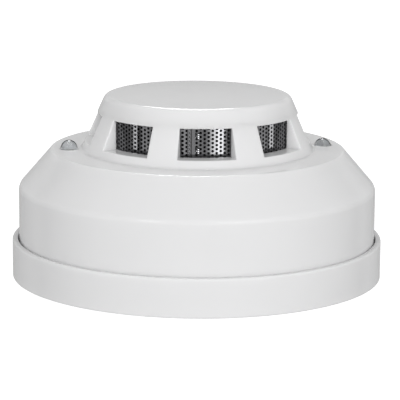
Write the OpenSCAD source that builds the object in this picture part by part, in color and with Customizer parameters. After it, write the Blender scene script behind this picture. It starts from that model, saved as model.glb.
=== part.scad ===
// Ceiling heat detector: a round plug-in head on a bayonet mounting base.
// Millimetres. The origin is the centre of the face that lies on the ceiling, and +Z runs from there
// towards the tip of the cap. The two indicators lie on the X axis.

/* [Mounting base] */
// Radius of the base's rim
base_r = 55; // [54.6:0.1:56]
// Height of the rim above the ceiling face
base_h = 11.3; // [11:0.1:11.8]
// Thickness of the base's floor
floor_t = 2.5; // [2.4:0.1:2.6]
// Gap between the rim and the head
rim_gap = 0.4; // [0.3:0.05:0.5]
// Radius of the central cable entry
cable_r = 9; // [7:0.5:9]
// Distance between the two fixing slots
slot_spacing = 60; // [58:1:60]
// Length of each fixing slot, end to end
slot_l = 9; // [7:0.5:9]
// Width of each fixing slot
slot_w = 4.2; // [4:0.1:4.5]

/* [Bayonet] */
// Number of hooks on the base, and of tabs on the head
hooks = 3; // [3:1:3]
// Turn from locked to free, in degrees
unlock_turn = 20; // [18:1:20]

/* [Terminals] */
// Number of terminals
terminals = 4; // [2:1:4]
// Radius on which terminals and contacts stand
terminal_r = 34; // [34:0.1:34.4]
// Angle from a contact back to its terminal screw, in degrees
terminal_lag = 26; // [26:0.5:27]
// Thread diameter of the terminal screws
thread_d = 3; // [2.5:0.5:3]
// Side of the square clamp plates
clamp_w = 8.8; // [8:0.2:9]

/* [Cover] */
// Radius of the cover's straight skirt
body_r = 53; // [52.8:0.1:53]
// Height at which the skirt turns into the cone
body_top = 26.75; // [26:0.25:28]
// Radius of the ledge's outer edge
ledge_r = 43.4; // [43:0.1:44]
// Height of the ledge
ledge_z = 37.9; // [37.5:0.1:38]
// Radius of the cap at its foot
cap_foot_r = 34.5; // [34:0.1:34.8]
// Radius of the cap at its rim
cap_rim_r = 27.4; // [27.2:0.1:28]
// Height of the cap's rim
cap_z = 53.9; // [53.5:0.1:55]
// Rise of the crowned top above the rim
crown = 0.9; // [0.5:0.1:1.5]
// Wall thickness of the cover
wall = 2; // [1.8:0.1:2.2]

/* [Air windows] */
// Number of windows round the cap
windows = 8; // [6:1:8]
// Angle that each window covers, in degrees
window_span = 29.3; // [26:0.1:30]
// Height of the window sills
sill_z = 40.3; // [40.1:0.1:41]
// Height of the window lintels
lintel_z = 48.7; // [47:0.1:48.8]

/* [Insect screen] */
// Outer radius of the rolled screen
screen_r = 28.5; // [28.2:0.1:28.5]
// Thickness of the screen
screen_t = 0.3; // [0.2:0.05:0.4]
// Number of slanted vanes behind the screen
vanes = 24; // [16:1:28]

/* [Indicators] */
// Distance of each indicator from the axis
led_r = 38.1; // [37.8:0.1:38.3]
// Angle of the right indicator behind the X axis, in degrees
led_turn = 5; // [0:0.5:5]
// How much deeper the right indicator sits
led_sink = 0.6; // [0:0.1:0.6]
// Diameter of each indicator
led_d = 5; // [5:0.1:5]

/* [Hidden] */
$fn = 96;
hook_span = unlock_turn - 8;
bottom_z = 4.5;
rim_r = body_r + rim_gap;
cover_in_r = body_r - wall;
plate_z = 9.6;
plate_t = 2;
plate_top = plate_z + plate_t;
plate_r = cover_in_r - 0.3;
board_z = 15;
board_t = 1.6;
board_top = board_z + board_t;
board_r = 41.5;
carrier_z = 37.6;
screen_z = 39.6;
screen_top = 49.3;
seat_r = screen_r + 0.25;
seat_top = 49.5;
roof_z = cap_z - wall;
hook_in_r = 43.4;
hook_wall_r = 46.6;
hook_out_r = 48.6;
hook_lip_z = 7.5;
hook_top = 9.1;
skirt_in_r = 40;
skirt_out_r = 42;
tab_z = 5.2;
tab_t = 2;
cover_screw_r = 46;
post_r = 3.2;
pillar_at = [90, 202, 338];
pillar_r = 37;
leg_r = 24;
blade_z = 7.5;
blade_t = 0.8;
pad_top = 4;
spring_t = 0.5;
clamp_t = 0.8;
head_h = 1.8;
screw_r = thread_d / 2;
bore_gap = 0.05;
insert_r = screw_r + 0.65;
insert_z = 0.8;
sleeve_r = 3;
sleeve_top = 43;
lead_r = 0.25;
led_equator = ledge_z + 0.1;
led_foot = 31.6;

white = [0.91, 0.91, 0.90];
black = [0.10, 0.10, 0.11];
board_green = [0.08, 0.33, 0.18];
brass = [0.80, 0.64, 0.30];
steel = [0.72, 0.73, 0.75];
tin = [0.80, 0.80, 0.78];

// Points of an arc of radius r that rounds corner p between its neighbours a and b.
function unit(v) = v / norm(v);
function rounded(a, p, b, r, steps = 6) =
    let (
        u = unit(a - p),
        w = unit(b - p),
        half = acos(u * w) / 2,
        centre = p + unit(u + w) * r / sin(half),
        first = p + u * r / tan(half) - centre,
        last = p + w * r / tan(half) - centre,
        start = atan2(first.y, first.x),
        sweep = (atan2(last.y, last.x) - start + 540) % 360 - 180
    )
    [for (k = [0:steps]) centre + r * [cos(start + sweep * k / steps), sin(start + sweep * k / steps)]];

// Points of the shallow crown from radius r at height z in to the axis.
function crowned(r, z, rise, steps = 8) =
    [for (k = [0:steps]) [r * (1 - k / steps), z + rise * (1 - pow(1 - k / steps, 2))]];

// Block between radii r1 and r2 from height z1 to z2, span degrees wide about angle mid.
module sector(r1, r2, z1, z2, mid, span) {
    translate([0, 0, z1])
        rotate([0, 0, mid - span / 2])
            rotate_extrude(angle = span)
                translate([r1, 0])
                    square([r2 - r1, z2 - z1]);
}

// Ring between radii r1 and r2 from height z1 to z2.
module ring(r1, r2, z1, z2) {
    difference() {
        translate([0, 0, z1])
            cylinder(r = r2, h = z2 - z1);
        translate([0, 0, z1 - 1])
            cylinder(r = r1, h = z2 - z1 + 2);
    }
}

// Moves children to radius r at angle a.
module at_polar(r, a) {
    rotate([0, 0, a])
        translate([r, 0, 0])
            children();
}

// Pan-head screw with a cross recess, its head's underside at the origin and its shank below.
module pan_screw(head_r, shank_r, shank_l, h = head_h) {
    difference() {
        union() {
            rotate_extrude()
                polygon(concat(
                    [[0, 0], [head_r, 0]],
                    rounded([head_r, 0], [head_r, h], [0, h], h * 0.45, 4),
                    [[0, h]]
                ));
            translate([0, 0, -shank_l])
                cylinder(r = shank_r, h = shank_l);
        }
        for (a = [0, 90])
            rotate([0, 0, a])
                translate([-head_r * 0.55, -0.35, h * 0.45])
                    cube([head_r * 1.1, 0.7, h]);
    }
}

// Angle of contact i, and of its terminal screw.
function contact_angle(i) = 45 + i * 360 / terminals;
function terminal_angle(i) = contact_angle(i) - terminal_lag;

// Angle of the indicator on the left (s = -1) or right (s = 1), and how much deeper it sits.
function led_angle(s) = s > 0 ? led_turn : 180;
function led_drop(s) = s > 0 ? led_sink : 0;

module base_rim() {
    rotate_extrude()
        polygon(concat(
            [[rim_r, 0], [base_r, 0]],
            rounded([base_r, 0], [base_r, base_h], [rim_r, base_h], 0.6, 4),
            rounded([base_r, base_h], [rim_r, base_h], [rim_r, 0], 0.25, 2)
        ));
}

// Hook with its inward lip, and the end wall that stops the head's tab when it is locked.
module bayonet_hook(a) {
    stop_span = 2;
    span = hook_span + 2;
    foot = floor_t - 1;
    rotate([0, 0, a - span / 2 - stop_span])
        rotate_extrude(angle = span + stop_span)
            polygon([
                [hook_out_r, foot],
                [hook_out_r, hook_top],
                [hook_in_r, hook_top],
                [hook_in_r, hook_lip_z],
                [hook_wall_r, hook_lip_z],
                [hook_wall_r, foot]
            ]);
    stop_at = a - (span + stop_span) / 2 + 0.2;
    sector(hook_in_r + 0.2, hook_wall_r + 1, foot, hook_lip_z + 0.5, stop_at, stop_span);
}

module fixing_slot(x) {
    reach = (slot_l - slot_w) / 2;
    translate([x, 0, -1]) {
        for (s = [-1, 1])
            translate([s * reach, 0, 0])
                cylinder(d = slot_w, h = floor_t + 2);
        translate([-reach, -slot_w / 2, 0])
            cube([2 * reach, slot_w, floor_t + 2]);
    }
}

// Annular recess in the ceiling face, crossed by radial ribs.
module rear_recess() {
    recess_in = 39.5;
    recess_out = 51;
    recess_t = 1;
    ribs = 12;
    for (k = [0:ribs - 1])
        sector(recess_in, recess_out, -1, recess_t, (k + 0.5) * 360 / ribs, 360 / ribs - 2.4);
}

module mounting_base() {
    collar = 2;
    color(white)
        difference() {
            union() {
                cylinder(r = rim_r + 0.4, h = floor_t);
                base_rim();
                for (k = [0:hooks - 1])
                    bayonet_hook(90 + k * 360 / hooks);
                cylinder(r = cable_r + collar, h = pad_top);
                for (i = [0:terminals - 1])
                    at_polar(terminal_r, terminal_angle(i))
                        cylinder(r = 4.4, h = pad_top);
            }
            translate([0, 0, -1])
                cylinder(r = cable_r, h = pad_top + 2);
            for (s = [-1, 1])
                fixing_slot(s * slot_spacing / 2);
            for (i = [0:terminals - 1])
                at_polar(terminal_r, terminal_angle(i))
                    translate([0, 0, insert_z])
                        cylinder(r = insert_r, h = pad_top);
            rear_recess();
        }
}

module threaded_inserts() {
    color(brass)
        for (i = [0:terminals - 1])
            at_polar(terminal_r, terminal_angle(i))
                ring(screw_r + bore_gap, insert_r - 0.02, insert_z, pad_top);
}

// Side view of the contact spring along the chord from its terminal to its contact.
function spring_line(l) = [
    [-l / 2 - 4.4, 4.25],
    [-l / 2 + 4.9, 4.25],
    [l / 2 - 4.5, 6.3],
    [l / 2 - 1.5, 6.95],
    [l / 2 + 1.5, 6.95],
    [l / 2 + 4.5, 5.9]
];

// Bent brass strip, clamped at its foot and sprung up under the head's blade.
module contact_spring(i) {
    chord = 2 * terminal_r * sin(terminal_lag / 2);
    mid_r = terminal_r * cos(terminal_lag / 2);
    strip_w = 7;
    line = spring_line(chord);
    last = len(line) - 1;
    color(brass)
        rotate([0, 0, contact_angle(i) - terminal_lag / 2])
            translate([mid_r, 0, 0])
                rotate([0, 0, 90])
                    difference() {
                        translate([0, strip_w / 2, 0])
                            rotate([90, 0, 0])
                                linear_extrude(height = strip_w)
                                    polygon(concat(
                                        [for (k = [0:last]) line[k] - [0, spring_t / 2]],
                                        [for (k = [last:-1:0]) line[k] + [0, spring_t / 2]]
                                    ));
                        translate([-chord / 2, 0, 0])
                            cylinder(r = screw_r + 0.2, h = 2 * pad_top);
                    }
}

module clamp_plate(i) {
    color(steel)
        at_polar(terminal_r, terminal_angle(i))
            rotate([0, 0, terminal_lag / 2])
                difference() {
                    translate([-clamp_w / 2, -clamp_w / 2, pad_top + spring_t])
                        cube([clamp_w, clamp_w, clamp_t]);
                    translate([0, 0, pad_top])
                        cylinder(r = screw_r + 0.2, h = 2);
                }
}

module terminal_screw(i) {
    shank = 4;
    color(steel)
        at_polar(terminal_r, terminal_angle(i))
            translate([0, 0, pad_top + spring_t + clamp_t])
                pan_screw(thread_d - 0.1, screw_r, shank);
}

// Outline of the cover's outside, from its lower edge up to the tip of the crown.
function cover_outside() =
    let (
        lip = [body_r, bottom_z],
        corner = [body_r, body_top],
        edge = [ledge_r, ledge_z],
        foot = [cap_foot_r, ledge_z],
        cap_rim = [cap_rim_r, cap_z],
        top_r = cap_rim_r - 1.4
    )
    concat(
        [lip],
        rounded(lip, corner, edge, 5.5),
        rounded(corner, edge, foot, 1, 5),
        rounded(edge, foot, cap_rim, 0.5, 3),
        rounded(foot, cap_rim, [0, cap_z], 2, 6),
        crowned(top_r - 1, cap_z, crown)
    );

function cover_inside() =
    let (
        slope = (ledge_r - body_r) / (ledge_z - body_top),
        under = ledge_z - wall,
        knee = body_top - wall * 0.4,
        draft = (cap_rim_r - cap_foot_r) / (cap_z - ledge_z),
        throat = cap_foot_r + draft * (seat_top - ledge_z) - wall * 1.1
    )
    [
        [0, under - 100],
        [cover_in_r, under - 100],
        [cover_in_r, knee],
        [cover_in_r + slope * (under - knee), under],
        [seat_r, under],
        [seat_r, seat_top],
        [throat, seat_top],
        [throat + draft * (roof_z - seat_top), roof_z],
        [0, roof_z]
    ];

// Posts inside the cover for the screws that hold the rear housing.
module cover_post(a) {
    post_top = 25;
    web = 2;
    rotate([0, 0, a])
        difference() {
            union() {
                translate([cover_screw_r, 0, plate_top])
                    cylinder(r = post_r, h = post_top - plate_top);
                translate([cover_screw_r, -web / 2, plate_top + 4])
                    cube([cover_in_r - cover_screw_r + 0.8, web, post_top - plate_top - 4]);
            }
            translate([cover_screw_r, 0, plate_top - 1])
                cylinder(r = screw_r, h = 10);
        }
}

module outer_cover() {
    color(white) {
        difference() {
            rotate_extrude()
                polygon(concat([[0, bottom_z]], cover_outside()));
            rotate_extrude()
                polygon(cover_inside());
            for (k = [0:windows - 1])
                sector(seat_r - 0.8, cap_foot_r + 2, sill_z, lintel_z, k * 360 / windows, window_span);
            for (s = [-1, 1])
                at_polar(led_r, led_angle(s))
                    translate([0, 0, ledge_z - wall - 1])
                        cylinder(d = led_d + 0.6, h = wall + 2);
        }
        for (a = [30, 150, 270])
            cover_post(a);
    }
}

module bayonet_tab(a) {
    sector(skirt_in_r + 1, hook_wall_r - 0.5, tab_z, tab_z + tab_t, a, hook_span);
}

// Tray that closes the head's rear, with the bayonet tabs on the ring below it.
module rear_housing() {
    pedestal = 15;
    wall_r = plate_r - 1.2;
    color(white)
        difference() {
            union() {
                translate([0, 0, plate_z])
                    cylinder(r = plate_r, h = plate_t);
                ring(wall_r, plate_r, plate_z, board_z);
                ring(skirt_in_r, skirt_out_r, tab_z, plate_z + 0.5);
                for (k = [0:hooks - 1])
                    bayonet_tab(90 + k * 360 / hooks);
                for (i = [0:terminals - 1])
                    sector(30, 38.5, blade_z + blade_t, plate_z + 0.5, contact_angle(i), pedestal);
                for (a = pillar_at)
                    at_polar(pillar_r, a)
                        translate([0, 0, plate_z + 1])
                            cylinder(r = 3, h = board_z - plate_z - 1);
            }
            for (a = [30, 150, 270])
                at_polar(cover_screw_r, a)
                    translate([0, 0, plate_z - 1])
                        cylinder(r = screw_r + 0.2, h = plate_t + 2);
            for (a = pillar_at)
                at_polar(pillar_r, a)
                    translate([0, 0, plate_top + 0.3])
                        cylinder(r = 1.25, h = board_z);
            for (i = [0:terminals - 1])
                at_polar(terminal_r, contact_angle(i))
                    translate([0, 0, blade_z])
                        cylinder(r = 1.25, h = 2 * plate_t + 2);
        }
}

module cover_screws() {
    color(steel)
        for (a = [30, 150, 270])
            at_polar(cover_screw_r, a)
                translate([0, 0, plate_z])
                    rotate([180, 0, 0])
                        pan_screw(2.7, screw_r - bore_gap, 9, 1.5);
}

// Arc-shaped blade on the underside of the head, with the post that carries it up to the board.
module contact_blade(i) {
    post_top = board_top + 0.8;
    color(brass) {
        sector(30.5, 38, blade_z, blade_z + blade_t, contact_angle(i), 13);
        at_polar(terminal_r, contact_angle(i))
            translate([0, 0, blade_z])
                cylinder(r = 1.2, h = post_top - blade_z);
    }
}

module insect_screen() {
    color(steel)
        ring(screen_r - screen_t, screen_r, screen_z, screen_top);
}

// Black disc on three legs that the screen stands on.
module screen_carrier() {
    color(black) {
        ring(sleeve_r + 0.1, screen_r, carrier_z, screen_z);
        for (a = [30, 150, 270])
            at_polar(leg_r, a)
                translate([0, 0, board_top])
                    cylinder(r = 2.5, h = carrier_z - board_top + 0.5);
    }
}

// Ring of slanted vanes inside the screen. Air passes between them, light and spray do not.
module baffle_ring() {
    vane_r = 24.2;
    vane_l = 7.4;
    vane_t = 0.8;
    slant = 58;
    rim_t = 0.8;
    vane_top = screen_top - 0.3;
    color(black) {
        ring(20.5, screen_r - screen_t - 0.3, screen_z, screen_z + rim_t);
        for (k = [0:vanes - 1])
            rotate([0, 0, k * 360 / vanes])
                translate([vane_r, 0, screen_z + rim_t / 2])
                    rotate([0, 0, slant])
                        translate([-vane_l / 2, -vane_t / 2, 0])
                            cube([vane_l, vane_t, vane_top - screen_z - rim_t / 2]);
    }
}

module thermistor_sleeve() {
    color(white)
        ring(sleeve_r - 1, sleeve_r, board_top, sleeve_top);
}

// Bead thermistor on two wire leads, standing on the board.
module bead_thermistor(x, y, bead_r, bead_z) {
    translate([x, y, 0]) {
        translate([0, 0, bead_z])
            sphere(r = bead_r);
        for (s = [-1, 1])
            translate([s * bead_r * 0.55, 0, board_top])
                cylinder(r = lead_r, h = bead_z - board_top);
    }
}

module sensing_thermistor() {
    color([0.10, 0.12, 0.10])
        bead_thermistor(0, 0, 1.3, 46);
}

module reference_thermistor() {
    color([0.10, 0.12, 0.10])
        bead_thermistor(31, 13, 1.1, 24);
}

module indicator_led(s) {
    foot = led_foot - led_drop(s);
    equator = led_equator - led_drop(s);
    color([0.86, 0.87, 0.90, 0.6])
        at_polar(led_r, led_angle(s)) {
            translate([0, 0, foot])
                cylinder(d = led_d + 0.8, h = 1);
            translate([0, 0, foot + 0.5])
                cylinder(d = led_d, h = equator - foot - 0.5);
            intersection() {
                translate([0, 0, equator])
                    sphere(d = led_d);
                translate([-led_d, -led_d, equator - 0.1])
                    cube([2 * led_d, 2 * led_d, led_d]);
            }
            for (t = [-1, 1])
                translate([0, t * 1.27, board_z - 1])
                    cylinder(r = lead_r, h = foot - board_z + 1.2);
        }
}

module led_spacer(s) {
    color(black)
        at_polar(led_r, led_angle(s))
            ring(1.8, 2.9, board_top, led_foot - led_drop(s));
}

module circuit_board() {
    color(board_green)
        difference() {
            translate([0, 0, board_z])
                cylinder(r = board_r, h = board_t);
            for (a = pillar_at)
                at_polar(pillar_r, a)
                    translate([0, 0, board_z - 1])
                        cylinder(r = 1.4, h = board_t + 2);
            for (i = [0:terminals - 1])
                at_polar(terminal_r, contact_angle(i))
                    translate([0, 0, board_z - 1])
                        cylinder(r = 1.25, h = board_t + 2);
            for (s = [-1, 1], t = [-1, 1])
                at_polar(led_r, led_angle(s))
                    translate([0, t * 1.27, board_z - 1])
                        cylinder(r = 0.5, h = board_t + 2);
        }
}

module board_screws() {
    color(steel)
        for (a = pillar_at)
            at_polar(pillar_r, a)
                translate([0, 0, board_top])
                    pan_screw(2.25, 1.2, 4, 1.5);
}

// Flat package standing clear of the board on two rows of gull-wing legs.
module leaded_package(l, w, h, pins, pitch, leg_w) {
    stand = 0.2;
    color(black)
        translate([-l / 2, -w / 2, board_top + stand])
            cube([l, w, h]);
    color(tin)
        for (k = [0:pins - 1], s = [-1, 1])
            translate([(k - (pins - 1) / 2) * pitch, s * w / 2, board_top]) {
                translate([-leg_w / 2, s > 0 ? 0 : -0.6, 0])
                    cube([leg_w, 0.6, stand + h * 0.5]);
                translate([-leg_w / 2, s > 0 ? 0.4 : -1.2, 0])
                    cube([leg_w, 0.8, 0.2]);
            }
}

module microcontroller() {
    translate([0, -13, 0])
        leaded_package(8.7, 3.9, 1.5, 7, 1.27, 0.4);
}

module bridge_rectifier() {
    translate([-14, -30, 0])
        leaded_package(8.4, 6.4, 3, 2, 5.1, 0.6);
}

module voltage_regulator() {
    translate([27, 3, 0])
        leaded_package(6.5, 3.5, 1.6, 3, 2.3, 0.7);
}

// Can with its crimped groove near the foot.
module electrolytic_capacitor(x, y, can_r, can_h) {
    stand = 0.3;
    groove = 0.35;
    color([0.12, 0.16, 0.26])
        translate([x, y, board_top + stand])
            rotate_extrude()
                polygon(concat(
                    [[0, 0], [can_r, 0], [can_r, 1], [can_r - groove, 1.4], [can_r, 1.8]],
                    rounded([can_r, 0], [can_r, can_h], [0, can_h], 0.5, 4),
                    [[0, can_h]]
                ));
    color(tin)
        for (s = [-1, 1])
            translate([x + s * can_r * 0.4, y, board_top])
                cylinder(r = lead_r, h = stand + 0.2);
}

// Round disc on edge with two leads.
module disc_part(x, y, disc_r, disc_t, turn) {
    lift = 1.5;
    translate([x, y, board_top])
        rotate([0, 0, turn]) {
            translate([0, disc_t / 2, lift + disc_r])
                rotate([90, 0, 0])
                    cylinder(r = disc_r, h = disc_t);
            for (s = [-1, 1])
                translate([s * disc_r * 0.6, 0, 0])
                    cylinder(r = lead_r, h = lift + disc_r);
        }
}

module ceramic_capacitors() {
    color([0.78, 0.50, 0.16])
        for (k = [0:2])
            disc_part(-13 + 7 * k, 12, 2.5, 1.8, 90);
}

module surge_suppressor() {
    color([0.14, 0.28, 0.52])
        disc_part(-31, 13, 3.5, 3, 30);
}

module resistors() {
    body_l = 6.3;
    body_r2 = 1.15;
    lift = 0.3;
    span = 10;
    for (k = [0:5])
        translate([-12.5 + 5 * k, 25, board_top]) {
            color([0.76, 0.66, 0.48])
                translate([0, body_l / 2, lift + body_r2])
                    rotate([90, 0, 0])
                        cylinder(r = body_r2, h = body_l);
            color(tin) {
                translate([0, span / 2, lift + body_r2])
                    rotate([90, 0, 0])
                        cylinder(r = lead_r, h = span);
                for (s = [-1, 1])
                    translate([0, s * (span / 2 - lead_r), 0])
                        cylinder(r = lead_r, h = lift + body_r2);
            }
        }
}

// Small plastic package with one flat side, on three leads.
module transistor(x, y, turn) {
    lift = 3;
    case_r = 2.3;
    translate([x, y, board_top])
        rotate([0, 0, turn]) {
            color(black)
                difference() {
                    translate([0, 0, lift])
                        cylinder(r = case_r, h = 4.6);
                    translate([-case_r - 1, case_r * 0.6, lift - 1])
                        cube([2 * case_r + 2, case_r, 7]);
                }
            color(tin)
                for (k = [-1:1])
                    translate([k * 1.27, 0, 0])
                        cylinder(r = lead_r, h = lift + 0.3);
        }
}

module driver_transistors() {
    transistor(-29, -8, 90);
    transistor(-29, 2, 90);
}

// Glass tube with a lead at each end, bent down to the board.
module reed_switch() {
    tube_l = 10;
    tube_r = 1.1;
    lift = 1.9;
    span = 14;
    translate([15, -18, board_top])
        rotate([0, 0, 20]) {
            color([0.55, 0.65, 0.60])
                translate([-tube_l / 2, 0, lift])
                    rotate([0, 90, 0])
                        cylinder(r = tube_r, h = tube_l);
            color(tin) {
                translate([-span / 2, 0, lift])
                    rotate([0, 90, 0])
                        cylinder(r = lead_r, h = span);
                for (s = [-1, 1])
                    translate([s * (span / 2 - lead_r), 0, 0])
                        cylinder(r = lead_r, h = lift);
            }
        }
}

mounting_base();
threaded_inserts();
for (i = [0:terminals - 1]) {
    contact_spring(i);
    clamp_plate(i);
    terminal_screw(i);
    contact_blade(i);
}
outer_cover();
rear_housing();
cover_screws();
insect_screen();
screen_carrier();
baffle_ring();
thermistor_sleeve();
sensing_thermistor();
reference_thermistor();
indicator_led(-1);  // indicator_led_left
indicator_led(1);  // indicator_led_right
led_spacer(-1);  // led_spacer_left
led_spacer(1);  // led_spacer_right
circuit_board();
board_screws();
microcontroller();
bridge_rectifier();
voltage_regulator();
electrolytic_capacitor(15, -29, 3.15, 11);  // electrolytic_capacitor_1
electrolytic_capacitor(24, -9, 3.15, 11);  // electrolytic_capacitor_2
ceramic_capacitors();
surge_suppressor();
resistors();
driver_transistors();
reed_switch();
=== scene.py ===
# Ceiling heat detector: a plug-in head with a screened cap, locked on its bayonet mounting base.
# The camera and the studio are in metres. The sections after them are in millimetres, and each mesh is
# brought to metres when it is finished.
import math

import bmesh
import bpy
from mathutils import Matrix, Vector


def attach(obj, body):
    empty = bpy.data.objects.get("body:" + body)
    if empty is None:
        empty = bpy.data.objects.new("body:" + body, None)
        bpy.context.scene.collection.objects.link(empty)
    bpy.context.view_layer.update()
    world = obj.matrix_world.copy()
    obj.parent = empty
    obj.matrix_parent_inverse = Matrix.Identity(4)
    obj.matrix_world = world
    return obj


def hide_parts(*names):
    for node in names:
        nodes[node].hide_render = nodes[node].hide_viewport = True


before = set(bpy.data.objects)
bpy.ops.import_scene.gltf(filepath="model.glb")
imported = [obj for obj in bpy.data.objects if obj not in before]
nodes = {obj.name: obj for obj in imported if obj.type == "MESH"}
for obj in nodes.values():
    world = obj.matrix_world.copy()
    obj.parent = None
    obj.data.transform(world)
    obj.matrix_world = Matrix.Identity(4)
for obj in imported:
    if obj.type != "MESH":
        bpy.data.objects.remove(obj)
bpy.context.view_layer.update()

# ---------------------------------------------------------------- camera
# A long lens two thirds of a metre in front of the detector, slightly to its left and above it.
# The picture is tipped by half a degree, as a hand-set tripod leaves it.
heading = math.radians(4.88)
dip = math.radians(11.94)
tip = math.radians(0.47)

camera = bpy.data.objects.new("camera", bpy.data.cameras.new("camera"))
camera.data.lens = 197.73
camera.data.sensor_width = 36
camera.data.clip_start = 0.01
camera.matrix_world = (
    Matrix.Translation((-0.05375, -0.6401, 0.1578))
    @ Matrix.Rotation(-heading, 4, "Z")
    @ Matrix.Rotation(math.pi / 2 - dip, 4, "X")
    @ Matrix.Rotation(tip, 4, "Z")
)
bpy.context.scene.collection.objects.link(camera)
bpy.context.scene.camera = camera
bpy.context.scene.view_settings.view_transform = "Standard"

# ---------------------------------------------------------------- studio
# A white floor under even light, with fills and soft boxes in front, in a dark room with a bright back.
# The overhead box lights only the cover and the lenses. The 17 cards light only the screen and its
# welds, as bright and dark bands that are set for the front view and fit no other.
even_light = 0.47
floor_radius = 12
room_radius = 8


class Socket:
    """A shader value. Expressions on it add the Math nodes that work them out."""

    def __init__(self, tree, link):
        self.tree = tree
        self.link = link

    def maths(self, operation, *values):
        return self.node("ShaderNodeMath", {"operation": operation}, dict(enumerate(values)))

    def node(self, kind, settings=None, inputs=None, output=0):
        made = self.tree.nodes.new(kind)
        for name, value in (settings or {}).items():
            if name == "stops":
                ramp = made.color_ramp
                while len(ramp.elements) < len(value):
                    ramp.elements.new(1)
                for stop, (place, colour) in zip(ramp.elements, value):
                    stop.position = place
                    stop.color = colour
            else:
                setattr(made, name, value)
        for name, value in (inputs or {}).items():
            if isinstance(value, Socket):
                self.tree.links.new(value.link, made.inputs[name])
            else:
                made.inputs[name].default_value = value
        return Socket(self.tree, made.outputs[output])

    def mix(self, factor, first, second):
        """A colour between two colours."""
        settings = {"data_type": "RGBA"}
        return self.node("ShaderNodeMix", settings, {0: factor, 6: first, 7: second}, 2)

    def root(self):
        return self.maths("SQRT", self)

    def whole(self):
        return self.maths("FLOOR", self)

    def fraction(self):
        return self.maths("FRACT", self)

    def capped(self):
        """The value, or 1 where it is more."""
        return self.maths("MINIMUM", self, 1.0)

    def __abs__(self):
        return self.maths("ABSOLUTE", self)

    def __add__(self, other):
        return self.maths("ADD", self, other)

    def __sub__(self, other):
        return self.maths("SUBTRACT", self, other)

    def __rsub__(self, other):
        return self.maths("SUBTRACT", other, self)

    def __mul__(self, other):
        return self.maths("MULTIPLY", self, other)

    def __truediv__(self, other):
        return self.maths("DIVIDE", self, other)

    def __gt__(self, other):
        return self.maths("GREATER_THAN", self, other)

    def __lt__(self, other):
        return self.maths("LESS_THAN", self, other)

    __radd__ = __add__
    __rmul__ = __mul__


def glowing(name, colour, strength, diffuse=None):
    """A surface that shines by itself, over a matt coat if a diffuse colour is given."""
    material = bpy.data.materials.new(name)
    material.use_nodes = True
    shader = material.node_tree.nodes["Principled BSDF"]
    shader.inputs["Base Color"].default_value = diffuse or (0, 0, 0, 1)
    shader.inputs["Specular IOR Level"].default_value = 0
    shader.inputs["Roughness"].default_value = 0.9
    shader.inputs["Emission Color"].default_value = colour
    shader.inputs["Emission Strength"].default_value = strength
    return material


def eased_step(value, start, end):
    """0 up to the start, 1 from the end on, and a smooth rise between them."""
    settings = {"interpolation_type": "SMOOTHSTEP"}
    return value.node("ShaderNodeMapRange", settings, {"Value": value, "From Min": start, "From Max": end})


def mesh_of(name, shape):
    """The shape as a mesh. The shape itself is used up."""
    mesh = bpy.data.meshes.new(name)
    shape.to_mesh(mesh)
    shape.free()
    return mesh


def stage_piece(name, shape, material):
    """A piece of the studio, which isn't part of the detector."""
    mesh = mesh_of(name, shape)
    mesh.materials.append(material)
    piece = bpy.data.objects.new(name, mesh)
    bpy.context.scene.collection.objects.link(piece)
    return piece


world = bpy.data.worlds.new("even light")
bpy.context.scene.world = world
world.use_nodes = True
world.node_tree.nodes["Background"].inputs["Color"].default_value = (1, 1, 1, 1)
world.node_tree.nodes["Background"].inputs["Strength"].default_value = even_light
world.cycles_visibility.glossy = False

shape = bmesh.new()
bmesh.ops.create_circle(shape, cap_ends=True, segments=64, radius=floor_radius)
floor_paper = glowing("floor paper", (1, 1, 1, 1), 0.86, (0.5, 0.5, 0.5, 1))
floor = stage_piece("floor", shape, floor_paper)
floor.visible_glossy = False
floor.visible_diffuse = False
floor.visible_shadow = False

shape = bmesh.new()
bmesh.ops.create_icosphere(shape, subdivisions=4, radius=room_radius)
room_paint = glowing("room walls", (1, 1, 1, 1), 1)
room_tree = room_paint.node_tree
room_place = Socket(room_tree, None).node("ShaderNodeTexCoord", output=3)
room_split = {"Vector": room_place}
room_depth = room_place.node("ShaderNodeSeparateXYZ", inputs=room_split, output=1) / room_radius
room_height = room_place.node("ShaderNodeSeparateXYZ", inputs=room_split, output=2) / room_radius
back_wall = eased_step(room_depth, 0.4, 0.64)
upper_wall = eased_step(room_height, 0.26, 0.42)
room_grey = 0.05 + back_wall * (1 - upper_wall) * 0.42
room_tree.links.new(room_grey.link, room_tree.nodes["Principled BSDF"].inputs["Emission Color"])
room = stage_piece("room", shape, room_paint)
room.visible_camera = False
room.visible_diffuse = False
room.visible_transmission = False
room.visible_shadow = False


def soft_box(name, azimuth, elevation, width, height, radiance, seen_matt=True, seen_gloss=True, only=None):
    """A rectangular lamp turned to the cap, that lights everything or only one collection.

    Azimuth 0 is the camera's side. The width and the height are in degrees, seen from the cap.
    """
    away = 2.0
    cap_height = 0.04
    turn = math.radians(azimuth) - heading
    rise = math.radians(elevation)
    toward = Vector((math.sin(turn) * math.cos(rise), -math.cos(turn) * math.cos(rise), math.sin(rise)))
    lamp = bpy.data.lights.new(name, "AREA")
    lamp.shape = "RECTANGLE"
    lamp.size = 2 * away * math.tan(math.radians(width) / 2)
    lamp.size_y = 2 * away * math.tan(math.radians(height) / 2)
    lamp.energy = radiance * math.pi * lamp.size * lamp.size_y
    box = bpy.data.objects.new(name, lamp)
    facing = toward.to_track_quat("Z", "Y").to_matrix().to_4x4()
    box.matrix_world = Matrix.Translation(toward * away + Vector((0, 0, cap_height))) @ facing
    box.visible_diffuse = seen_matt
    box.visible_glossy = seen_gloss
    box.light_linking.receiver_collection = only
    bpy.context.scene.collection.objects.link(box)


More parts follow.
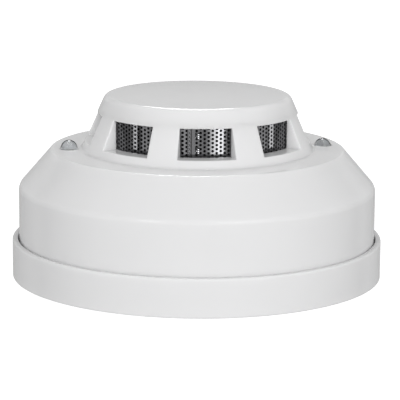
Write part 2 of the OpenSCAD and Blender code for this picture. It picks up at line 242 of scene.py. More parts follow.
lit_from_behind = bpy.data.collections.new("lit from behind")
lit_by_cards = bpy.data.collections.new("screen steel")
soft_box("front box right", 29, 26, 27, 9, 2.8)
soft_box("front box left", -31, 26, 12, 9, 3.2)
soft_box("overhead box", 182, 50, 17, 36, 5.8, only=lit_from_behind)
soft_box("centre fill", 0, 11.5, 20, 23, 5.7, seen_gloss=False)
soft_box("right fill", 40, 11.5, 30, 23, 2.8, seen_gloss=False)
soft_box("left fill", -38, 11.5, 30, 23, 2.0, seen_gloss=False)

card_elevation = -10
card_height = 44
cards = []
for azimuth, width, radiance in (
    (-103, 4, 0.2),
    (-91, 18, 0.35),
    (-78.5, 4.5, 3.8),
    (-63, 14, 1.1),
    (-13, 16, 1.4),
    (-2, 5, 1.0),
    (2.5, 4, 0.4),
    (6.5, 5, 1.7),
    (13.5, 9, 4.2),
    (24.5, 13, 6.2),
    (32.5, 3, 1.0),
    (74, 34, 1.1),
    (98, 7, 3.4),
    (110, 16, 0.3),
    (122, 4, 0.3),
):
    cards.append((azimuth, card_elevation, width, card_height, radiance))
cards += [(0, 50, 60, 24, 10.0), (0, -72, 60, 24, 8.0)]
for azimuth, elevation, width, height, radiance in cards:
    name = f"card {azimuth} {elevation}"
    soft_box(name, azimuth, elevation, width, height, radiance, seen_matt=False, only=lit_by_cards)

# ---------------------------------------------------------------- mounting base
# Round injection-moulded tray in glossy white ABS, screwed flat to the ceiling. Its rim hides the
# foot of the head, and its hooks, terminal pads and cable collar are moulded in one piece with it.
white_abs = (0.838, 0.838, 0.842, 1)


def new_material(name):
    """A node material, its shader and the places of the surface's points."""
    material = bpy.data.materials.new(name)
    material.use_nodes = True
    tree = material.node_tree
    shader = tree.nodes["Principled BSDF"]
    place = Socket(tree, None).node("ShaderNodeTexCoord", output=3)
    return material, shader, place


def feed(shader, **values):
    """Joins worked-out values to the shader's sockets. Names are written with underscores."""
    for name, value in values.items():
        value.tree.links.new(value.link, shader.inputs[name.replace("_", " ")])


def noise(place, scale, detail=3, stretch=(1, 1, 1)):
    """Uneven values from 0 to 1 over metres times the scale."""
    drawn = place.node("ShaderNodeMapping", inputs={"Vector": place, "Scale": stretch})
    return place.node("ShaderNodeTexNoise", inputs={"Vector": drawn, "Scale": scale, "Detail": detail})


def relief(height, depth, strength=1.0):
    """A Bump node's normal for a height from 0 to 1 that is depth metres tall."""
    return height.node("ShaderNodeBump", inputs={"Strength": strength, "Distance": depth, "Height": height})


def shade(colour, factor):
    return tuple(c * factor for c in colour[:3]) + (1,)


def moulding(name, colour, gloss, grain, clean=0.03, depth=0.0):
    """Moulded plastic: slow changes of shade, a fine skin, and dust that dulls the gloss a little.

    Light goes into it by the depth, in metres, or not at all.
    """
    material, shader, place = new_material(name)
    flow = noise(place, 40, 3)
    skin = noise(place, 1400, 2)
    dust = noise(place, 260, 5)
    feed(
        shader,
        Base_Color=flow.mix(flow, shade(colour, 1 - clean), colour),
        Roughness=gloss * (0.8 + flow * 0.25 + dust * 0.3),
        Normal=relief(skin, grain, 0.35),
    )
    shader.inputs["IOR"].default_value = 1.53
    shader.inputs["Subsurface Weight"].default_value = 1.0 if depth else 0.0
    shader.inputs["Subsurface Radius"].default_value = (1, 1, 1)
    shader.inputs["Subsurface Scale"].default_value = depth
    return material


def paint(material, *names):
    """Gives a CAD node's one material slot its finish."""
    for name in names:
        data = nodes[name].data
        data.materials.clear()
        data.materials.append(material)


base_plastic = moulding("base ABS", white_abs, 0.11, 0.000012, depth=0.0015)
paint(base_plastic, "mounting_base")

# ---------------------------------------------------------------- terminals
# Four rolled brass springs and knurled brass inserts in the base. A zinc-plated M3 screw and square
# clamp plate stand on each spring and hold the loop wires.


def metal(name, colour, other, roughness, stretch=(1, 1, 1), scale=220, wear=0.12):
    """Bare or plated metal with drawn streaks, faint clouding and small scratches."""
    material, shader, place = new_material(name)
    streak = noise(place, scale, 4, stretch)
    cloud = noise(place, 55, 2)
    scratch = noise(place, scale * 5, 2, stretch)
    feed(
        shader,
        Base_Color=cloud.mix(cloud, other, colour),
        Roughness=roughness + (streak - 0.5) * wear,
        Normal=relief(scratch, 0.000006, 0.3),
    )
    shader.inputs["Metallic"].default_value = 1
    return material


brass = metal("rolled brass", (0.80, 0.60, 0.26, 1), (0.62, 0.43, 0.17, 1), 0.28, (1, 1, 6))
zinc = metal("zinc plate", (0.74, 0.75, 0.77, 1), (0.62, 0.62, 0.58, 1), 0.26)
for number in range(1, 5):
    paint(brass, f"contact_spring_{number}", f"contact_blade_{number}")
    paint(zinc, f"clamp_plate_{number}", f"terminal_screw_{number}")
paint(brass, "threaded_inserts")

# ---------------------------------------------------------------- rear housing
# Satin white ABS tray that closes the head from behind. It carries the bayonet tabs, the contact
# pedestals and three pillars for the board, and is held to the cover by three plated screws.
housing_plastic = moulding("housing ABS", (0.80, 0.80, 0.78, 1), 0.34, 0.00002)
paint(housing_plastic, "rear_housing")
paint(zinc, "cover_screws", "board_screws")

# ---------------------------------------------------------------- circuit board
# Glass-fibre board under green solder mask, with copper tracks and tinned pads on a 2.54 mm grid.
# Three small screws hold it on the housing's pillars.
tin_colour = (0.72, 0.72, 0.70, 1)
mask_green = (0.015, 0.14, 0.06, 1)
track_green = (0.03, 0.26, 0.10, 1)


def parts_of(place):
    """The three coordinates of a place, in millimetres."""
    split = {"Vector": place}
    return [place.node("ShaderNodeSeparateXYZ", inputs=split, output=k) * 1000 for k in range(3)]


def board_material():
    material, shader, place = new_material("printed circuit board")
    x, y, z = parts_of(place)
    grid = 2.54
    track_half = 0.22
    pad_radius = 0.75
    drill_radius = 0.3
    edge_radius = 41.3
    column = (x / grid).whole()
    row = (y / grid).whole()
    coarse_x = (x / (3 * grid)).whole()
    coarse_y = (y / (2 * grid)).whole()
    block = x.node("ShaderNodeCombineXYZ", inputs={0: coarse_x, 1: coarse_y})
    chance = x.node("ShaderNodeTexWhiteNoise", inputs={"Vector": block})
    cell = x.node("ShaderNodeCombineXYZ", inputs={0: column, 1: row})
    pick = x.node("ShaderNodeTexWhiteNoise", inputs={"Vector": cell})
    off_x = (x / grid - column - 0.5) * grid
    off_y = (y / grid - row - 0.5) * grid
    lengthwise = (abs(off_y) < track_half) * (chance < 0.45)
    crosswise = (abs(off_x) < track_half) * (chance > 0.55)
    track = (lengthwise + crosswise).capped()
    reach = (off_x * off_x + off_y * off_y).root()
    picked = pick > 0.72
    pad = (reach < pad_radius) * picked
    # Painted shade: near-black discs in the colour stand for the shade inside drilled holes.
    hole = (reach < drill_radius) * picked
    weave = noise(place, 1800, 1)
    colour = x.mix(track, mask_green, track_green)
    colour = x.mix(pad, colour, tin_colour)
    colour = x.mix(hole, colour, (0.01, 0.01, 0.01, 1))
    edge = (x * x + y * y) > edge_radius * edge_radius
    colour = x.mix(edge, colour, (0.45, 0.42, 0.25, 1))
    feed(
        shader,
        Base_Color=colour,
        Metallic=pad * (1 - hole) * 0.9,
        Roughness=0.24 + weave * 0.1 + pad * 0.08,
        Normal=relief(track * 0.7 + pad - hole + weave * 0.15, 0.00004, 0.6),
    )
    return material


paint(board_material(), "circuit_board")

# ---------------------------------------------------------------- packages and transistors
# Moulded epoxy packages on tinned gull-wing legs, reflowed to the board, and two small transistors
# on three straight legs.


def leaded(name, body, skin, is_lead, gloss=0.42):
    """A moulded or dipped body with a fine skin, and tinned metal where is_lead is 1."""
    material, shader, place = new_material(name)
    x, y, z = parts_of(place)
    lead = is_lead(x, y, z)
    speck = noise(place, 2600, 2)
    cloud = noise(place, 120, 3)
    coat = cloud.mix(cloud, shade(body, 0.82), body)
    feed(
        shader,
        Base_Color=lead.mix(lead, coat, tin_colour),
        Metallic=lead * 0.95,
        Roughness=gloss + cloud * 0.08 - lead * (gloss - 0.3),
        Normal=relief(speck, skin, 0.4),
    )
    return material


def outside_block(middle_x, middle_y, half_x, half_y):
    """A test for the legs that stand out round a package."""

    def test(x, y, z):
        beyond_x = abs(x - middle_x) - half_x
        beyond_y = abs(y - middle_y) - half_y
        return beyond_x.maths("MAXIMUM", beyond_x, beyond_y) > 0.01

    return test


epoxy_black = (0.022, 0.022, 0.024, 1)
package_rough = 0.00003
for name, node, is_lead in (
    ("controller package", "microcontroller", outside_block(0, -13, 4.35, 1.95)),
    ("rectifier package", "bridge_rectifier", outside_block(-14, -30, 4.2, 3.2)),
    ("regulator package", "voltage_regulator", outside_block(27, 3, 3.25, 1.75)),
    ("transistor package", "driver_transistors", lambda x, y, z: z < 19.6),
):
    paint(leaded(name, epoxy_black, package_rough, is_lead), node)

# ---------------------------------------------------------------- capacitors and surge suppressor
# Aluminium cans in a dark shrink sleeve with a pale stripe down the negative side, tan dipped
# ceramic discs, and a blue dipped suppressor disc. All stand on tinned wire leads.
can_top = 27.9
can_foot = 16.85
dipped_skin = 0.00004


def can_material(name, middle_x, middle_y):
    material, shader, place = new_material(name)
    x, y, z = parts_of(place)
    off_x = x - middle_x
    off_y = y - middle_y
    reach = (off_x * off_x + off_y * off_y).root()
    bearing = off_x.maths("ARCTAN2", off_y, off_x)
    stripe = (abs(bearing) < 0.45) * (reach > 2.4)
    dash = ((z / 2.2).fraction() > 0.35) * (abs(bearing) < 0.14) * stripe
    on_top = z > can_top - 0.25
    bare = (on_top * (reach < 2.62) + (z < can_foot)).capped()
    scored = ((abs(off_x) < 0.14) + (abs(off_y) < 0.14)).capped()
    vent = scored * on_top * (reach < 2.0)
    colour = x.mix(stripe, (0.015, 0.02, 0.045, 1), (0.42, 0.44, 0.46, 1))
    colour = x.mix(dash, colour, (0.02, 0.02, 0.04, 1))
    colour = x.mix(bare, colour, (0.78, 0.78, 0.79, 1))
    feed(
        shader,
        Base_Color=colour,
        Metallic=bare * 0.95,
        Roughness=0.3 + noise(place, 500, 3) * 0.12,
        Normal=relief(1 - vent + noise(place, 900, 2) * 0.05, 0.00012, 0.7),
    )
    return material


paint(can_material("can sleeve one", 15, -29), "electrolytic_capacitor_1")
paint(can_material("can sleeve two", 24, -9), "electrolytic_capacitor_2")


def disc_lead(x, y, z):
    aside = abs(y - 12) - 1.5
    return (abs(aside) < 0.3) * (z < 18.62)


def suppressor_lead(x, y, z):
    return z < 18.12


ceramic_coating = leaded("ceramic coating", (0.58, 0.27, 0.05, 1), dipped_skin, disc_lead, 0.3)
paint(ceramic_coating, "ceramic_capacitors")
suppressor_coating = leaded("suppressor coating", (0.02, 0.08, 0.30, 1), dipped_skin, suppressor_lead, 0.28)
paint(suppressor_coating, "surge_suppressor")

# ---------------------------------------------------------------- resistors
# Carbon film resistors in tan lacquer. Four colour bands run round each body, and the tinned leads
# are bent down to the board.


def resistor_material():
    material, shader, place = new_material("resistor lacquer")
    x, y, z = parts_of(place)
    along = y - 25
    which = x.maths("ROUND", (x + 12.5) / 5)
    lead = abs(along) > 3.14
    bands = (along + 2.6) / 1.1
    step = bands.whole()
    inside = bands.fraction()
    band = (inside < 0.45) * (step > -0.5) * (step < 2.5)
    last = (along > 1.75) * (along < 2.25)
    key = x.node("ShaderNodeCombineXYZ", inputs={0: which, 1: step})
    chance = x.node("ShaderNodeTexWhiteNoise", inputs={"Vector": key})
    stops = [
        (0.0, (0.02, 0.02, 0.02, 1)),
        (0.2, (0.12, 0.03, 0.01, 1)),
        (0.4, (0.5, 0.01, 0.01, 1)),
        (0.6, (0.75, 0.2, 0.01, 1)),
        (0.8, (0.25, 0.02, 0.35, 1)),
    ]
    ramp = chance.node("ShaderNodeValToRGB", {"stops": stops}, {0: chance})
    ramp.link.node.color_ramp.interpolation = "CONSTANT"
    cloud = noise(place, 300, 3)
    colour = x.mix(cloud, (0.48, 0.36, 0.19, 1), (0.60, 0.47, 0.28, 1))
    colour = x.mix(band, colour, ramp)
    colour = x.mix(last, colour, (0.50, 0.33, 0.06, 1))
    colour = x.mix(lead, colour, tin_colour)
    feed(
        shader,
        Base_Color=colour,
        Metallic=lead * 0.95,
        Roughness=0.3 + cloud * 0.1,
        Normal=relief(band + last + cloud * 0.3, 0.00003, 0.5),
    )
    return material


paint(resistor_material(), "resistors")

# ---------------------------------------------------------------- reed switch and thermistors
# A green glass tube with two flat reeds that overlap at its middle, and two epoxy beads on wire
# leads: one in the air path under the cap, one low on the board.


def reed_material():
    material, shader, place = new_material("reed glass")
    x, y, z = parts_of(place)
    turn = math.radians(20)
    off_x = x - 15
    off_y = y + 18
    along = off_x * math.cos(turn) + off_y * math.sin(turn)
    across = off_y * math.cos(turn) - off_x * math.sin(turn)
    lead = abs(along) > 4.99
    reed = (abs(across) < 0.4) * (abs(along) > 0.15)
    cloud = noise(place, 400, 2)
    glass = x.mix(cloud, (0.10, 0.22, 0.14, 1), (0.16, 0.30, 0.20, 1))
    colour = x.mix(reed, glass, (0.45, 0.50, 0.45, 1))
    colour = x.mix(lead, colour, tin_colour)
    feed(
        shader,
        Base_Color=colour,
        Metallic=lead * 0.95,
        Roughness=0.06 + lead * 0.24 + cloud * 0.03,
    )
    shader.inputs["Coat Weight"].default_value = 0.6
    return material


def off_bead(middle, radius):
    """A test for the leads that come out of a round bead."""

    def test(x, y, z):
        off_x, off_y, off_z = (value - centre for value, centre in zip((x, y, z), middle))
        return off_x * off_x + off_y * off_y + off_z * off_z > (radius + 0.03) ** 2

    return test


bead_colour = (0.03, 0.045, 0.03, 1)
bead_skin = 0.00002
paint(reed_material(), "reed_switch")
sensing_coating = leaded("sensing bead", bead_colour, bead_skin, off_bead((0, 0, 46), 1.3), 0.12)
paint(sensing_coating, "sensing_thermistor")
reference_coating = leaded("reference bead", bead_colour, bead_skin, off_bead((31, 13, 24), 1.1), 0.12)
paint(reference_coating, "reference_thermistor")

# ---------------------------------------------------------------- black and natural mouldings
# Matt black ABS spacers, screen carrier and vane ring, all spark-textured so that they throw no
# light back, and a milky nylon sleeve that guides the sensing thermistor's leads.
matt_black = moulding("matt black ABS", (0.016, 0.016, 0.018, 1), 0.55, 0.00006, 0.3)
nylon = moulding("natural nylon", (0.74, 0.73, 0.68, 1), 0.42, 0.00002, 0.05)
paint(matt_black, "led_spacer_left", "led_spacer_right", "screen_carrier", "baffle_ring")
paint(nylon, "thermistor_sleeve")

# ---------------------------------------------------------------- indicator lamps
# Two clear 5 mm lamps: a cast epoxy lens with a flange, and inside it the lead frame with its
# reflector cup, chip and bond wire. Their leads go through spacers to the board.
lamp_reach = 38.1
lamp_turn = {"left": 180, "right": 5}
lamp_sink = {"left": 0, "right": 0.6}
lens_radius = 2.5
flange_z = 31.6
dome_z = 38.0
post_foot = 14.6
cup_y = -0.55
wire_width = 0.05


def outline(shape, points):
    """An open outline in the plane through the axis, as geometry that can be spun."""
    corners = [shape.verts.new((r, 0, z)) for r, z in points]
    return corners + [shape.edges.new(pair) for pair in zip(corners, corners[1:])]


def corners_in(parts):
    return [part for part in parts if isinstance(part, bmesh.types.BMVert)]


def spun_up(shape, geometry, degrees, steps, **more):
    """Spins geometry about the upright axis, and gives what stands at the end of the turn."""
    angle = math.radians(degrees)
    return bmesh.ops.spin(
        shape, geom=geometry, cent=(0, 0, 0), axis=(0, 0, 1), angle=angle, steps=steps, **more
    )["geom_last"]


def turned(shape, points, steps=48):
    """Spins an outline right round the axis, and gives the new corners."""
    before = set(shape.faces)
    spun_up(shape, outline(shape, points), 360, steps, use_merge=True)
    bmesh.ops.remove_doubles(shape, verts=shape.verts, dist=0.0005)
    made = [face for face in shape.faces if face not in before]
    bmesh.ops.recalc_face_normals(shape, faces=made)
    return list({corner for face in made for corner in face.verts})


def finish(name, shape, material, body, sharp=35):
    """Brings the shape to metres as a smooth-shaded piece that rides on a body."""
    bmesh.ops.scale(shape, vec=(0.001, 0.001, 0.001), verts=shape.verts)
    mesh = mesh_of(name, shape)
    mesh.shade_smooth()
    mesh.set_sharp_from_angle(angle=math.radians(sharp))
    mesh.materials.append(material)
    piece = bpy.data.objects.new(name, mesh)
    bpy.context.scene.collection.objects.link(piece)
    even = piece.modifiers.new("even shading", "WEIGHTED_NORMAL")
    even.keep_sharp = True
    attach(piece, body)
    return piece


def lens_material():
    material, shader, place = new_material("clear epoxy")
    cloud = noise(place, 500, 3)
    feed(
        shader,
        Base_Color=cloud.mix(cloud, (0.90, 0.92, 0.94, 1), (0.97, 0.98, 0.99, 1)),
        Roughness=0.02 + cloud * 0.02,
        Normal=relief(noise(place, 900, 1), 0.000008, 0.3),
    )
    shader.inputs["Transmission Weight"].default_value = 1
    shader.inputs["IOR"].default_value = 1.52
    return material


clear_epoxy = lens_material()
frame_metal = metal("silvered lead frame", (0.80, 0.79, 0.76, 1), (0.68, 0.67, 0.62, 1), 0.22)


def lamp_place(where):
    """Stands a lamp made on the axis in its own hole."""
    turn = Matrix.Rotation(math.radians(lamp_turn[where]), 4, "Z")
    return turn @ Matrix.Translation((lamp_reach, 0, -lamp_sink[where]))


def slab(shape, middle, size):
    """A rectangular block."""
    matrix = Matrix.Translation(middle) @ Matrix.Diagonal((*size, 1))
    return bmesh.ops.create_cube(shape, size=1, matrix=matrix)["verts"]


def bevelled(shape, edges, offset, steps):
    bmesh.ops.bevel(
        shape,
        geom=edges,
        offset=offset,
        offset_type="OFFSET",
        segments=steps,
        profile=0.5,
        affect="EDGES",
        material=-1,
    )


def lens_shape():
    """A round-topped lens on its flange, upright on the axis."""
    lens = bmesh.new()
    dome = [math.radians(a) for a in range(0, 91, 9)]
    profile = [(0, flange_z), (2.8, flange_z), (2.9, flange_z + 0.1)]
    profile += [(2.9, flange_z + 0.9), (2.8, flange_z + 1), (lens_radius, flange_z + 1)]
    profile += [(lens_radius * math.cos(a), dome_z + lens_radius * math.sin(a)) for a in dome]
    turned(lens, profile)
    return lens


def lead_frame_shape():
    """Two posts, a reflector cup with its chip on one of them, and the bond wire over to the other."""
    lead_frame = bmesh.new()
    for post_y, post_top, inner_y in ((-1.27, 36.5, -0.65), (1.27, 37.4, 0.95)):
        slab(lead_frame, (0, post_y, (post_foot + flange_z) / 2), (0.42, 0.42, flange_z - post_foot))
        inner_z = (flange_z + post_top) / 2 + 0.2
        slab(lead_frame, (0, inner_y, inner_z), (0.45, 1.1, post_top - flange_z - 0.4))
    bevelled(lead_frame, list(lead_frame.edges), 0.06, 1)
    cup = [(0, 36.5), (0.55, 36.5), (1.05, 37.5), (0.95, 37.5), (0.45, 36.9), (0, 36.9)]
    cup_corners = turned(lead_frame, cup, 24)
    bmesh.ops.translate(lead_frame, vec=(0, cup_y, 0), verts=cup_corners)
    slab(lead_frame, (0, cup_y, 37.0), (0.35, 0.35, 0.22))
    wire = outline(lead_frame, [(0, 0), (0, 0.35), (0.35, 0.6), (1.0, 0.6), (1.4, 0.28)])
    wire_edges = [part for part in wire if isinstance(part, bmesh.types.BMEdge)]
    pulled = corners_in(bmesh.ops.extrude_edge_only(lead_frame, edges=wire_edges)["geom"])
    bmesh.ops.translate(lead_frame, vec=(0, wire_width, 0), verts=pulled)
    wire_corners = corners_in(wire) + pulled
    quarter_turn = Matrix.Rotation(math.pi / 2, 3, "Z")
    bmesh.ops.rotate(lead_frame, cent=(0, 0, 0), matrix=quarter_turn, verts=wire_corners)
    bmesh.ops.translate(lead_frame, vec=(0, cup_y, 37.1), verts=wire_corners)
    return lead_frame


for where in ("left", "right"):
    lens = lens_shape()
    bmesh.ops.transform(lens, matrix=lamp_place(where), verts=lens.verts)
    lens_piece = finish(f"lamp_lens_{where}", lens, clear_epoxy, "head")
    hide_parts(f"indicator_led_{where}")
    lit_from_behind.objects.link(lens_piece)

    lead_frame = lead_frame_shape()
    bmesh.ops.transform(lead_frame, matrix=lamp_place(where), verts=lead_frame.verts)
    finish(f"lamp_lead_frame_{where}", lead_frame, frame_metal, "head")

# ---------------------------------------------------------------- insect screen
# Dark polished stainless sheet punched with staggered 0.8 mm holes, rolled into a band behind the windows.
# Its ends overlap at the front, where half-pressed holes and a crease are shown as painted shade on the
# steel, and two crushed spot welds hold it.
screen_radius = 28.5
screen_foot = 39.6
screen_head = 49.3
sheet_t = 0.25
hole_radius = 0.4
row_pitch = 1.168
rows = 8
bottom_row = 40.366
top_row = bottom_row + (rows - 1) * row_pitch
column_turn = 2.3309
columns = 154
first_turn = -5.3
lap_start = -10.5
lap_end = -6.1
lap_drop = 0.30
climb_start = -5
climb_run = 13
marks_at = -4.95
column_w = math.radians(column_turn) * screen_radius


def punched_cell(shape):
    """One hole in a rectangle of sheet, twelve corners round each."""
    hole = bmesh.ops.create_circle(shape, segments=12, radius=hole_radius)["verts"]
    border = bmesh.ops.create_circle(shape, segments=12, radius=1)["verts"]
    for corner in border:
        high = abs(corner.co.y)
        level = row_pitch / 2 if high > 0.8 else row_pitch / 4 if high > 0.4 else 0
        level = math.copysign(level, corner.co.y)
        aside = math.copysign(column_w / 2, corner.co.x) if abs(corner.co.x) > 0.1 else 0
        corner.co = (aside, level, 0)
    rings = [edge for edge in shape.edges if edge.verts[0] in set(hole + border)]
    bmesh.ops.bridge_loops(shape, edges=rings)
    return [*hole, *border, *rings, *shape.faces]


def repeated(shape, shift, times):
    """The whole flat shape again and again, each moved by the shift."""
    everything = [*shape.verts, *shape.edges, *shape.faces]
    spun_up(shape, everything, 0, times, dvec=shift, use_duplicate=True)
    bmesh.ops.remove_doubles(shape, verts=shape.verts, dist=0.01)


def widened(shape, axis, edge_at, stops):
    """Pulls the straight border at one place on to each of the stops in turn."""
    for stop in stops:
        border = []
        for edge in shape.edges:
            if edge.is_boundary and all(abs(corner.co[axis] - edge_at) < 0.005 for corner in edge.verts):
                border.append(edge)
        for corner in corners_in(bmesh.ops.extrude_edge_only(shape, edges=border)["geom"]):
            corner.co[axis] = stop
        edge_at = stop


def punched_column(middle_x, lowest, holes):
    """A column of holes with its plain strips at the foot and the head of the sheet."""
    column = bmesh.new()
    punched_cell(column)
    repeated(column, (0, row_pitch, 0), holes - 1)
    bmesh.ops.translate(column, vec=(middle_x, lowest, 0), verts=column.verts)
    low = lowest - row_pitch / 2
    high = lowest + row_pitch * (holes - 0.5)
    below = [z for z in (bottom_row - row_pitch / 4, bottom_row - row_pitch / 2) if z < low - 0.01]
    above = [z for z in (top_row + row_pitch / 4, top_row + row_pitch / 2) if z > high + 0.01]
    widened(column, 1, low, below + [screen_foot])
    widened(column, 1, high, above + [screen_head])
    return mesh_of("column", column)


sheet = bmesh.new()
sheet.from_mesh(punched_column(0, bottom_row + row_pitch / 2, rows - 1))
sheet.from_mesh(punched_column(column_w, bottom_row, rows))
bmesh.ops.remove_doubles(sheet, verts=sheet.verts, dist=0.01)
repeated(sheet, (2 * column_w, 0, 0), columns // 2 - 1)


def arc(turn):
    """How far along the flat sheet a turn round the screen is."""
    return math.radians(turn - first_turn) * screen_radius


start_at = -column_w / 2
end_at = (columns - 0.5) * column_w
widened(sheet, 0, start_at, [(start_at + arc(lap_start)) / 2, arc(lap_start)])
widened(sheet, 0, end_at, [arc(360 + lap_end)])
for corner in sheet.verts:
    turn = first_turn + math.degrees(corner.co.x / screen_radius)
    climb = min(max((turn - climb_start) / climb_run, 0), 1)
    away = screen_radius - sheet_t - lap_drop * (1 - climb * climb * (3 - 2 * climb))
    bearing = math.radians(turn)
    corner.co = (away * math.sin(bearing), -away * math.cos(bearing), corner.co.y)
bmesh.ops.recalc_face_normals(sheet, faces=sheet.faces)
middle_face = min(sheet.faces, key=lambda face: (face.calc_center_median() - Vector((28, 0, 44))).length)
if middle_face.normal.x < 0:
    bmesh.ops.reverse_faces(sheet, faces=sheet.faces)
bmesh.ops.solidify(sheet, geom=list(sheet.faces), thickness=-sheet_t)


def screen_steel():
    """Dark polished stainless. Along the lap, dark rings round one line of holes and a dark line beside them
    are painted shade: they stand for half-pressed holes and a crease, which the sheet's shape doesn't have.
    """
    light = (0.17, 0.17, 0.175, 1)
    dark = (0.14, 0.14, 0.145, 1)
    material = metal("dark stainless", light, dark, 0.12, (1, 1, 0.08), 500, 0.06)
    tree = material.node_tree
    shader = tree.nodes["Principled BSDF"]
    x, y, z = parts_of(Socket(tree, None).node("ShaderNodeTexCoord", output=3))
    around = x.maths("ARCTAN2", x, 0 - y) * screen_radius
    level = (z - bottom_row) / row_pitch + 0.5
    off_row = (level.fraction() - 0.5) * row_pitch
    off_line = around - marks_at
    reach = (off_row * off_row + off_line * off_line).root()
    # Painted shade: dark rings where half-pressed holes would be, and a dark line for the crease down the
    # lap.
    crease_shade = abs(off_line - 0.8) < 0.24
    painted_lap_shade = (reach < 0.42) * (reach > 0.2) + crease_shade
    plain = Socket(tree, shader.inputs["Base Color"].links[0].from_socket)
    feed(shader, Base_Color=x.mix(painted_lap_shade * 0.75, plain, (0.02, 0.02, 0.02, 1)))
    return material


steel = screen_steel()
screen = finish("punched_screen", sheet, steel, "head", 40)
lit_by_cards.objects.link(screen)
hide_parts("insect_screen")

weld_turn = -5.2
for number, weld_z in enumerate((42.15, 46.5)):
    weld = bmesh.new()
    bmesh.ops.create_grid(weld, x_segments=3, y_segments=4, size=0.5)
    bmesh.ops.scale(weld, vec=(1.5, 1.9, 1), verts=weld.verts)
    peaks = bmesh.ops.poke(weld, faces=weld.faces)["verts"]
    for count, peak in enumerate(peaks):
        aside = 0.08 * math.sin(count * 2.4)
        along = 0.06 * math.cos(count * 1.7)
        peak.co += Vector((aside, along, 0.13 + 0.07 * math.sin(count * 3.9)))
    rim_edges = [edge for edge in weld.edges if edge.is_boundary]
    skirt = corners_in(bmesh.ops.extrude_edge_only(weld, edges=rim_edges)["geom"])
    bmesh.ops.scale(weld, vec=(1.15, 1.1, 1), verts=skirt)
    bmesh.ops.translate(weld, vec=(0, 0, -0.12), verts=skirt)
    round_axis = Matrix.Rotation(math.radians(weld_turn), 4, "Z")
    on_sheet = Matrix.Translation((0, lap_drop - screen_radius, weld_z))
    stood_up = Matrix.Rotation(math.pi / 2, 4, "X")
    bmesh.ops.transform(weld, matrix=round_axis @ on_sheet @ stood_up, verts=weld.verts)
    dab = finish(f"spot_weld_{number + 1}", weld, steel, "head", 10)
    lit_by_cards.objects.link(dab)

# ---------------------------------------------------------------- outer cover
# One glossy white ABS moulding: straight skirt, cone, ledge with two lamp holes, and a tapered cap
# with eight windows. Three screw posts inside take the rear housing's screws.
skirt_radius = 53.0
skirt_foot = 4.5
cone_foot = 26.75
ledge_radius = 43.4
ledge_z = 37.9
cap_foot = 34.5
cap_rim = 27.4
cap_z = 53.9
crown_rise = 0.9
sill_z = 40.3
lintel_z = 48.7
window_turn = 29.3
seat_radius = 28.75
wall = 2.0
draft = (cap_foot - cap_rim) / (cap_z - ledge_z)
cone_slope = (skirt_radius - ledge_radius) / (ledge_z - cone_foot)


def cap_radius(z):
    return cap_foot - draft * (z - ledge_z)


ceiling_z = cap_z - wall
seat_top = 49.5
under_ledge = ledge_z - wall
knee_z = cone_foot - 0.8
throat = cap_radius(seat_top) - 2.2
cover_line = [(0, ceiling_z), (throat - draft * (ceiling_z - seat_top), ceiling_z), (throat, seat_top)]
cover_line += [(seat_radius, z) for z in (seat_top, lintel_z, sill_z, under_ledge)]
cover_line += [(skirt_radius - wall - cone_slope * (under_ledge - knee_z), under_ledge)]
cover_line += [(skirt_radius - wall, knee_z), (skirt_radius - wall, skirt_foot)]
cover_line += [(skirt_radius, skirt_foot), (skirt_radius, cone_foot)]
cover_line += [(ledge_radius, ledge_z), (cap_foot, ledge_z)]
cover_line += [(cap_radius(z), z) for z in (sill_z, lintel_z, cap_z)]
cover_line += [(cap_rim * s, cap_z + crown_rise * (1 - s * s)) for s in (0.8, 0.6, 0.4, 0.2, 0)]

cover = bmesh.new()
rib_half = (45 - window_turn) / 2
spun = outline(cover, cover_line)
start_turn = Matrix.Rotation(math.radians(-22.5), 3, "Z")
bmesh.ops.rotate(cover, cent=(0, 0, 0), matrix=start_turn, verts=cover.verts)
for run, steps in ((rib_half, 3), (window_turn, 10), (rib_half, 3)):
    spun = spun_up(cover, spun, run, steps)


def bearing_of(point):
    """Angle from the nearest window's middle, in degrees."""
    turn = math.degrees(math.atan2(point.y, point.x))
    return (turn + 22.5) % 45 - 22.5


def in_window(point, spare):
    level = sill_z - spare < point.z < lintel_z + spare
    return level and abs(bearing_of(point)) < window_turn / 2 + spare


cut = [face for face in cover.faces if in_window(face.calc_center_median(), -0.1)]
bmesh.ops.delete(cover, geom=cut, context="FACES")
borders = [e for e in cover.edges if e.is_boundary and all(in_window(v.co, 0.02) for v in e.verts)]
bmesh.ops.bridge_loops(cover, edges=borders)
everything = [*cover.verts, *cover.edges, *cover.faces]
spun_up(cover, everything, 315, 7, use_duplicate=True)
bmesh.ops.remove_doubles(cover, verts=cover.verts, dist=0.001)
bmesh.ops.dissolve_degenerate(cover, dist=0.0005, edges=cover.edges)
bmesh.ops.recalc_face_normals(cover, faces=cover.faces)


def on_cap(corner):
    return abs(corner.co.to_2d().length - cap_radius(corner.co.z)) < 0.05


def is_window_edge(edge):
    if not all(on_cap(v) and in_window(v.co, 0.02) for v in edge.verts):
        return False
    return edge.calc_face_angle(0) > 0.5


bevelled(cover, [edge for edge in cover.edges if is_window_edge(edge)], 0.25, 3)


def round_ring(shape, radius, height, fillet, steps):
    """Rounds the ring of edges at one radius and height."""
    ring = []
    for edge in shape.edges:
        if all(abs(v.co.to_2d().length - radius) < 0.02 and abs(v.co.z - height) < 0.02 for v in edge.verts):
            ring.append(edge)
    offset = fillet * math.tan(ring[0].calc_face_angle() / 2)
    bevelled(shape, ring, offset, steps)


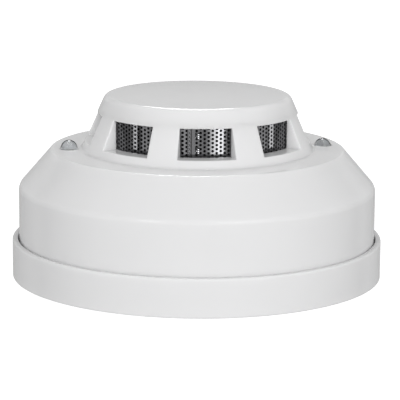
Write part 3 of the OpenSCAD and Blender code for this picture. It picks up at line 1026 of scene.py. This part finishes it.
round_ring(cover, skirt_radius, cone_foot, 2.6, 6)
round_ring(cover, ledge_radius, ledge_z, 1.0, 4)
round_ring(cover, cap_foot, ledge_z, 0.8, 4)
round_ring(cover, cap_rim, cap_z, 2.0, 8)
round_ring(cover, skirt_radius, skirt_foot, 0.3, 2)

drill = bmesh.new()
drill_line = [(0, under_ledge - 1), (2.8, under_ledge - 1), (2.8, ledge_z - 0.15), (3.05, ledge_z + 0.1)]
drill_line += [(3.05, ledge_z + 1), (0, ledge_z + 1)]
for where in ("left", "right"):
    before = set(drill.verts)
    turned(drill, drill_line, 48)
    made = [corner for corner in drill.verts if corner not in before]
    upright = lamp_place(where) @ Matrix.Translation((0, 0, lamp_sink[where]))
    bmesh.ops.transform(drill, matrix=upright, verts=made)


def loose_object(name, shape):
    made = bpy.data.objects.new(name, mesh_of(name, shape))
    bpy.context.scene.collection.objects.link(made)
    return made


def cut_away(shape, tool):
    """The shape with the tool's volume removed."""
    blank = loose_object("blank", shape)
    cutter = loose_object("cutter", tool)
    cutting = blank.modifiers.new("cut", "BOOLEAN")
    cutting.operation = "DIFFERENCE"
    cutting.solver = "EXACT"
    cutting.object = cutter
    result = bmesh.new()
    result.from_object(blank, bpy.context.evaluated_depsgraph_get())
    bpy.data.objects.remove(blank)
    bpy.data.objects.remove(cutter)
    return result


cover = cut_away(cover, drill)

post_reach = 46
post_outside = [(1.5, 11.6), (3.0, 11.6), (3.2, 11.8), (3.2, 25), (0, 25)]
post_bore = [(0, 20.6), (1.5, 20.6), (1.5, 11.6)]
for turn in (30, 150, 270):
    before = set(cover.verts)
    turned(cover, post_outside, 24)
    turned(cover, post_bore, 24)
    made = [corner for corner in cover.verts if corner not in before]
    bmesh.ops.translate(cover, vec=(post_reach, 0, 0), verts=made)
    made += slab(cover, (48.9, 0, 20.3), (5.3, 2, 9.4))
    post_turn = Matrix.Rotation(math.radians(turn), 3, "Z")
    bmesh.ops.rotate(cover, cent=(0, 0, 0), matrix=post_turn, verts=made)

cover_plastic = moulding("cover ABS", white_abs, 0.1, 0.000012, depth=0.0015)
cover_piece = finish("windowed_cover", cover, cover_plastic, "head", 32)
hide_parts("outer_cover")
lit_from_behind.objects.link(cover_piece)
